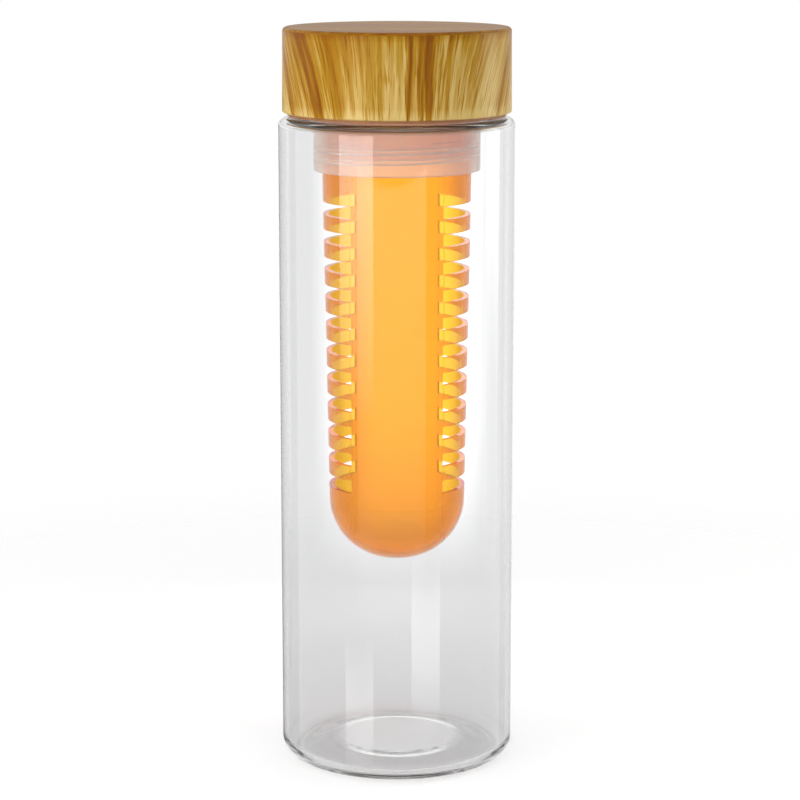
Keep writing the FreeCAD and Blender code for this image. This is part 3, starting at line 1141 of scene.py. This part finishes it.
@dataclass
class ScrewCap:
    """The screw cap: wood-look shell, dark threaded liner and the soft ring that seals the neck."""

    radius: float = 34.8
    top_radius: float = 34.6
    shell_bore: float = 32.4
    bottom: float = CAP_LIP
    ceiling: float = 224.5
    top: float = 226.7
    top_round: float = 1.2
    lip_round: float = 0.5
    fine_round: float = 0.25
    key_count: int = 12
    keyway_half_width: float = 1.0
    keyway_radius: float = 33.1
    keyway_length: float = 14.2
    liner_radius: float = 32.2
    liner_bore: float = 30.3
    liner_top: float = 224.4
    liner_ceiling: float = 222.7
    liner_round: float = 0.3
    liner_root_round: float = 0.4
    flange_radius: float = 33.2
    flange_bottom: float = 200.2
    flange_top_round: float = 0.15
    spigot_radius: float = 23.2
    spigot_bore: float = 21.6
    spigot_bottom: float = 216.7
    snap_middle: float = 218.3
    snap_height: float = 0.5
    snap_half: float = 0.8
    rib_half_width: float = 0.8
    rib_radius: float = 32.9
    rib_length: float = 14.0
    rib_root: float = 0.6
    rib_drop: float = 0.3
    rib_edge: float = 0.15
    gasket_bore: float = 25.7
    gasket_radius: float = 28.6
    gasket_bottom: float = 219.7
    gasket_top: float = 221.5
    gasket_round: float = 0.35
    thread: Thread = Thread(root=30.6, crest=28.9, start=203.0, pitch=4.0, turns=1.0, edge=0.2)

    def build_shell(self) -> Piece:
        """Model the outer shell with the keyways that hold the liner.

        Returns:
            The shell.
        """
        shell = turn_outline("cap_wood_shell", [
            Corner(0.0, self.ceiling),
            Corner(self.shell_bore, self.ceiling, self.lip_round),
            Corner(self.shell_bore, self.bottom, self.fine_round),
            Corner(self.radius, self.bottom, self.lip_round),
            Corner(self.top_radius, self.top, self.top_round),
            Corner(0.0, self.top),
        ])
        low = Vector((self.shell_bore - OVERRUN, -self.keyway_half_width, self.bottom - OVERRUN))
        high = Vector((self.keyway_radius, self.keyway_half_width, self.bottom + self.keyway_length))
        work_into(shell, ring_of(add_box("keyway", low, high), self.key_count), Join.CUT)
        return dress(shell, WOOD.material(), Body.LID, "cap_shell")

    def build_liner(self) -> Piece:
        """Model the dark inner cup with its flange, spigot, ribs and thread.

        Returns:
            The liner.
        """
        liner = turn_outline("cap_dark_liner", [
            Corner(0.0, self.liner_ceiling),
            Corner(self.spigot_bore, self.liner_ceiling, self.liner_root_round),
            Corner(self.spigot_bore, self.spigot_bottom, self.liner_round),
            Corner(self.spigot_radius, self.spigot_bottom, self.liner_round),
            Corner(self.spigot_radius, self.snap_middle - self.snap_half),
            Corner(self.spigot_radius + self.snap_height, self.snap_middle, self.liner_round),
            Corner(self.spigot_radius, self.snap_middle + self.snap_half),
            Corner(self.spigot_radius, self.liner_ceiling),
            Corner(self.liner_bore, self.liner_ceiling, self.liner_root_round),
            Corner(self.liner_bore, self.flange_bottom, self.fine_round),
            Corner(self.flange_radius, self.flange_bottom, self.fine_round),
            Corner(self.flange_radius, self.bottom, self.flange_top_round),
            Corner(self.liner_radius, self.bottom),
            Corner(self.liner_radius, self.liner_top, self.liner_round),
            Corner(0.0, self.liner_top),
        ])
        low = Vector((self.liner_radius - self.rib_root, -self.rib_half_width, self.bottom - self.rib_drop))
        high = Vector((self.rib_radius, self.rib_half_width, self.bottom + self.rib_length))
        rib = add_box("rib", low, high)
        soften(rib, self.rib_edge)
        work_into(liner, ring_of(rib, self.key_count), Join.ADD)
        self.thread.raise_on(liner)
        return dress(liner, LINER.material(), Body.LID, "cap_liner")

    def build_gasket(self) -> Piece:
        """Return the soft ring on the neck's rim, modelled and dressed."""
        gasket = turn_ring("neck_gasket_ring", (self.gasket_bore, self.gasket_radius),
                           (self.gasket_bottom, self.gasket_top), self.gasket_round)
        return dress(gasket, SILICONE.material(), Body.GASKET, "neck_gasket")

    def build(self) -> list[Piece]:
        """Return the modelled and dressed shell, liner and gasket."""
        return [self.build_shell(), self.build_liner(), self.build_gasket()]


@dataclass
class Infuser:
    """The infuser that hangs from the cap: frosted collar, soft seal and orange basket."""

    flange_radius: float = 28.6
    collar_radius: float = 25.4
    collar_top: float = 222.7
    flange_bottom: float = 221.5
    collar_bottom: float = 183.7
    upper_bore: float = 23.4
    socket_bore: float = 23.9
    ledge_bore: float = 21.25
    ledge_bottom: float = 201.0
    ledge_top: float = 202.5
    groove_middle: float = 218.3
    groove_half: float = 1.0
    groove_depth: float = 0.5
    collar_round: float = 0.3
    collar_root_round: float = 0.2
    skirt_round: float = 0.5
    collar_thread: Thread = Thread(root=24.2, crest=23.05, start=185.8, pitch=3.0, turns=2.0, edge=0.12)
    seal_thickness: float = 1.5
    seal_round: float = 0.3
    basket_radius: float = 22.75
    basket_wall: float = 1.5
    basket_top: float = 199.5
    basket_bottom: float = 62.9
    basket_rim_round: float = 0.4
    dome_radius: float = 20.6
    dome_round: float = 19.3
    basket_thread: Thread = Thread(root=22.45, crest=23.6, start=187.3, pitch=3.0, turns=2.25, edge=0.12)
    slot_plane: float = SLOT_PLANE
    slot_rows: int = 11
    slot_height: float = 3.9
    slot_edge: float = 0.18
    top_slot: float = 172.4
    bottom_slot: float = 88.1

    def build_collar(self) -> Piece:
        """Model the frosted collar with its flange, ledge and threaded socket.

        Returns:
            The collar.
        """
        collar = turn_outline("collar_frosted", [
            Corner(self.upper_bore, self.collar_top),
            Corner(self.upper_bore, self.groove_middle + self.groove_half),
            Corner(self.upper_bore + self.groove_depth, self.groove_middle, self.collar_round),
            Corner(self.upper_bore, self.groove_middle - self.groove_half),
            Corner(self.upper_bore, self.ledge_top, self.collar_round),
            Corner(self.ledge_bore, self.ledge_top, self.collar_round),
            Corner(self.ledge_bore, self.ledge_bottom, self.collar_root_round),
            Corner(self.socket_bore, self.ledge_bottom, self.collar_root_round),
            Corner(self.socket_bore, self.collar_bottom, self.collar_round),
            Corner(self.collar_radius, self.collar_bottom, self.skirt_round),
            Corner(self.collar_radius, self.flange_bottom, self.collar_root_round),
            Corner(self.flange_radius, self.flange_bottom, self.collar_round),
            Corner(self.flange_radius, self.collar_top, self.collar_round),
        ], closed=True)
        self.collar_thread.raise_on(collar)
        return dress(collar, FROSTED.material(), Body.LID, "infuser_collar")

    def build_seal(self) -> Piece:
        """Model the soft ring between the collar's ledge and the basket's rim.

        Returns:
            The seal.
        """
        bore = self.basket_radius - self.basket_wall
        top = self.basket_top + self.seal_thickness
        seal = turn_ring("basket_seal_ring", (bore, self.basket_radius),
                         (self.basket_top, top), self.seal_round)
        return dress(seal, SILICONE.material(), Body.SEAL, "basket_seal")

    def slot_column(self, side: Side) -> Piece:
        """Make the cutter for one side's column of slots.

        Args:
            side: Which side of the basket it cuts.

        Returns:
            The cutter.
        """
        reach = self.basket_radius + OVERRUN
        inner, outer = sorted((side.value * self.slot_plane, side.value * reach))
        half = self.slot_height / 2
        cutter = add_box("slot_cutter", Vector((inner, -reach, self.top_slot - half)),
                         Vector((outer, reach, self.top_slot + half)))
        step = (self.bottom_slot - self.top_slot) / (self.slot_rows - 1)
        modify(cutter, "ARRAY", count=self.slot_rows, use_relative_offset=False,
               use_constant_offset=True, constant_offset_displace=(0, 0, step * MM))
        return cutter

    def build_basket(self) -> Piece:
        """Model the orange basket with its round bottom, slots and thread.

        Returns:
            The basket.
        """
        bore = self.basket_radius - self.basket_wall
        floor = self.basket_bottom + self.basket_wall
        basket = turn_outline("basket_orange", [
            Corner(0.0, self.basket_bottom),
            Corner(self.dome_radius, self.basket_bottom, self.dome_round),
            Corner(self.basket_radius, self.collar_bottom),
            Corner(self.basket_radius, self.basket_top, self.basket_rim_round),
            Corner(bore, self.basket_top, self.basket_rim_round),
            Corner(bore, self.collar_bottom),
            Corner(self.dome_radius - self.basket_wall, floor, self.dome_round - self.basket_wall),
            Corner(0.0, floor),
        ])
        for side in Side:
            work_into(basket, self.slot_column(side), Join.CUT)
        soften(basket, self.slot_edge)
        self.basket_thread.raise_on(basket)
        return dress(basket, ORANGE.material(), Body.BASKET, "infuser_basket")

    def build(self) -> list[Piece]:
        """Return the modelled and dressed collar, seal and basket."""
        return [self.build_collar(), self.build_seal(), self.build_basket()]


@dataclass(frozen=True)
class Panel:
    """A studio panel that stands round the bottle.

    Attributes:
        name: The panel's name.
        around: Direction from the bottle, in degrees to the right of the camera.
        height: Height of its middle, in metres.
        distance: Level distance from the bottle's axis, in metres.
        width: Its width, in metres.
        tall: Its height, in metres.
        bright: Its brightness, where 1 is white paper.
    """

    name: str
    around: float
    height: float
    distance: float
    width: float
    tall: float
    bright: float

    def spot(self) -> Vector:
        """Return the place of its middle, in metres."""
        turn = math.radians(self.around)
        return Vector((math.sin(turn) * self.distance, -math.cos(turn) * self.distance, self.height))


@dataclass(frozen=True)
class Softbox(Panel):
    """A soft studio lamp that faces the bottle.

    Attributes:
        mirrored: Whether it shows in reflections.
        through: Whether it shows through the see-through pieces.
        soft: How far in from its edges it is dimmer, as a share of half its size.
    """

    mirrored: bool = True
    through: bool = False
    soft: float = 0.7

    def place(self, aim: Vector) -> None:
        """Set up the lamp.

        Args:
            aim: The point that it faces, in metres.
        """
        spot = self.spot()
        lamp = add_object(self.name, bpy.ops.object.light_add, type="AREA", location=spot,
                          rotation=(aim - spot).to_track_quat("-Z", "Y").to_euler())
        lamp.data.shape = "RECTANGLE"
        lamp.data.size = self.width
        lamp.data.size_y = self.tall
        lamp.data.energy = self.bright * math.pi * self.width * self.tall
        self.soften_edges(lamp.data)
        lamp.visible_camera = False
        lamp.visible_glossy = self.mirrored
        lamp.visible_transmission = self.through

    def soften_edges(self, lamp: bpy.types.Light) -> None:
        """Let the lamp's brightness fall off towards its edges, as behind real cloth.

        Args:
            lamp: The lamp's data.
        """
        board = Board(lamp, Target.LAMP)
        falls = []
        for share in board.split(board.add("NewGeometry").outputs["Parametric"])[:2]:
            away = board.math("ABSOLUTE", board.spread(share, -1.0, 1.0, 0.0, 1.0))
            falls.append(board.spread(away, 0.0, 1.0, 1.0, 1.0 - self.soft, Fall.SMOOTH))
        board.finish(board.add("Emission", Strength=board.math("MULTIPLY", *falls)))


@dataclass(frozen=True)
class MirrorCard(Panel):
    """An upright card that faces the bottle and only shows in reflections.

    Attributes:
        clear: Share of the surroundings that shows through it.
        fade: Share of its height over which it grows from nothing, from its lower edge.
        crest: Share of its height over which it dims again, towards its upper edge.
    """

    clear: float = 1.0
    fade: float = 0.6
    crest: float = 0.01

    def material(self) -> bpy.types.Material:
        """Make the card's own glow.

        Returns:
            The material.
        """
        board = new_board(self.name)
        height = board.split(board.add("TexCoord").outputs["Generated"])[1]
        rise = board.spread(height, 0.0, self.bright, 0.0, self.fade)
        fall = board.spread(height, 1.0, 0.0, 1.0 - self.crest, 1.0)
        paper = board.add("Emission", Strength=board.math("MULTIPLY", rise, fall))
        air = board.add("BsdfTransparent", Color=(self.clear, self.clear, self.clear, 1.0))
        return board.finish(board.add("AddShader", paper, air))

    def hang(self) -> None:
        """Hang the card, for reflections only."""
        card = add_object(self.name, bpy.ops.mesh.primitive_plane_add, size=1, location=self.spot(),
                          rotation=(math.pi / 2, 0, math.radians(self.around)))
        card.scale = (self.width, self.tall, 1.0)
        card.data.materials.append(self.material())
        card.visible_camera = False
        card.visible_diffuse = False
        card.visible_transmission = False
        card.visible_shadow = False


@dataclass
class Studio:
    """The white studio: camera, paper floor, surroundings, soft lamps and mirror cards."""

    camera_place: Triple = (0.0, -0.8076, 0.2691)
    camera_tilt: float = 79.0
    lens: float = 119.67
    sensor: float = 36.0
    shift: float = 0.00375
    nearest: float = 0.01
    floor_radius: float = 0.4
    floor_sides: int = 96
    ambient: float = 0.58
    light_passes: int = 32
    aim: Triple = (0.0, 0.0, 0.11)
    softboxes: tuple[Softbox, ...] = (
        Softbox("front_left_softbox", -41.0, 0.23, 0.52, 0.36, 0.42, 5.0, mirrored=False),
        Softbox("left_softbox", -95.0, 0.28, 0.42, 0.24, 0.50, 2.0, mirrored=False),
        Softbox("right_softbox", 104.0, 0.23, 0.42, 0.20, 0.42, 4.0),
        Softbox("top_softbox", 20.0, 1.40, 0.50, 1.00, 1.00, 1.2),
        Softbox("back_softbox", 178.6, 0.12, 0.20, 0.105, 0.26, 0.9, mirrored=False, through=True),
    )
    cards: tuple[MirrorCard, ...] = (
        MirrorCard("grey_card", 180.0, 0.63, 1.20, 3.00, 0.74, 0.62, clear=0.0, fade=0.01),
        MirrorCard("front_card", -5.0, -0.03, 0.60, 0.76, 0.30, 4.0, fade=0.9),
        MirrorCard("left_card", -39.0, 0.070, 0.60, 0.36, 0.15, 12.0, fade=0.8),
        MirrorCard("low_left_card", -37.0, -0.160, 0.60, 0.30, 0.08, 7.0, fade=0.4, crest=0.4),
        MirrorCard("low_right_card", 28.0, -0.125, 0.60, 0.30, 0.10, 8.0, fade=0.4, crest=0.4),
        MirrorCard("left_flag", -143.0, -0.03, 0.60, 0.70, 0.40, 0.0, clear=0.15),
        MirrorCard("right_flag", 140.0, -0.03, 0.60, 0.40, 0.40, 0.0, clear=0.45),
        MirrorCard("right_card", 103.0, 0.04, 0.50, 0.20, 0.24, 2.0, fade=0.7),
    )

    def set_camera(self) -> None:
        """Set the camera at the photograph's viewing angle."""
        camera = add_object("camera", bpy.ops.object.camera_add, location=self.camera_place,
                            rotation=(math.radians(self.camera_tilt), 0, 0))
        camera.data.lens = self.lens
        camera.data.sensor_width = self.sensor
        camera.data.shift_x = self.shift
        camera.data.clip_start = self.nearest
        bpy.context.scene.camera = camera

    def lay_floor(self) -> None:
        """Lay the paper floor under the bottle."""
        floor = add_object("floor", bpy.ops.mesh.primitive_circle_add, vertices=self.floor_sides,
                           radius=self.floor_radius, fill_type="NGON")
        floor.data.materials.append(StudioFloor().material())
        floor.visible_glossy = False

    def set_surroundings(self) -> None:
        """Make the surroundings white where they are seen, and a soft fill where they only light."""
        scene = bpy.context.scene
        scene.world = scene.world or bpy.data.worlds.new("surroundings")
        board = Board(scene.world, Target.WORLD)
        strength = board.spread(board.seen(), self.ambient, 1.0, 0.0, 1.0)
        board.finish(board.add("Background", Color=(1.0, 1.0, 1.0, 1.0), Strength=strength))

    def build(self) -> None:
        """Set up the whole studio."""
        scene = bpy.context.scene
        scene.view_settings.view_transform = "Standard"
        for limit in ("max_bounces", "glossy_bounces", "transmission_bounces", "transparent_max_bounces"):
            setattr(scene.cycles, limit, self.light_passes)
        self.set_camera()
        self.lay_floor()
        self.set_surroundings()
        for softbox in self.softboxes:
            softbox.place(Vector(self.aim))
        for card in self.cards:
            card.hang()


def main() -> None:
    """Build the studio and every piece of the bottle."""
    logging.basicConfig(level=logging.INFO, format="%(message)s")
    Studio().build()
    for assembly in (ClearBottle(), ScrewCap(), Infuser()):
        for piece in assembly.build():
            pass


if __name__ == "__main__":
    main()
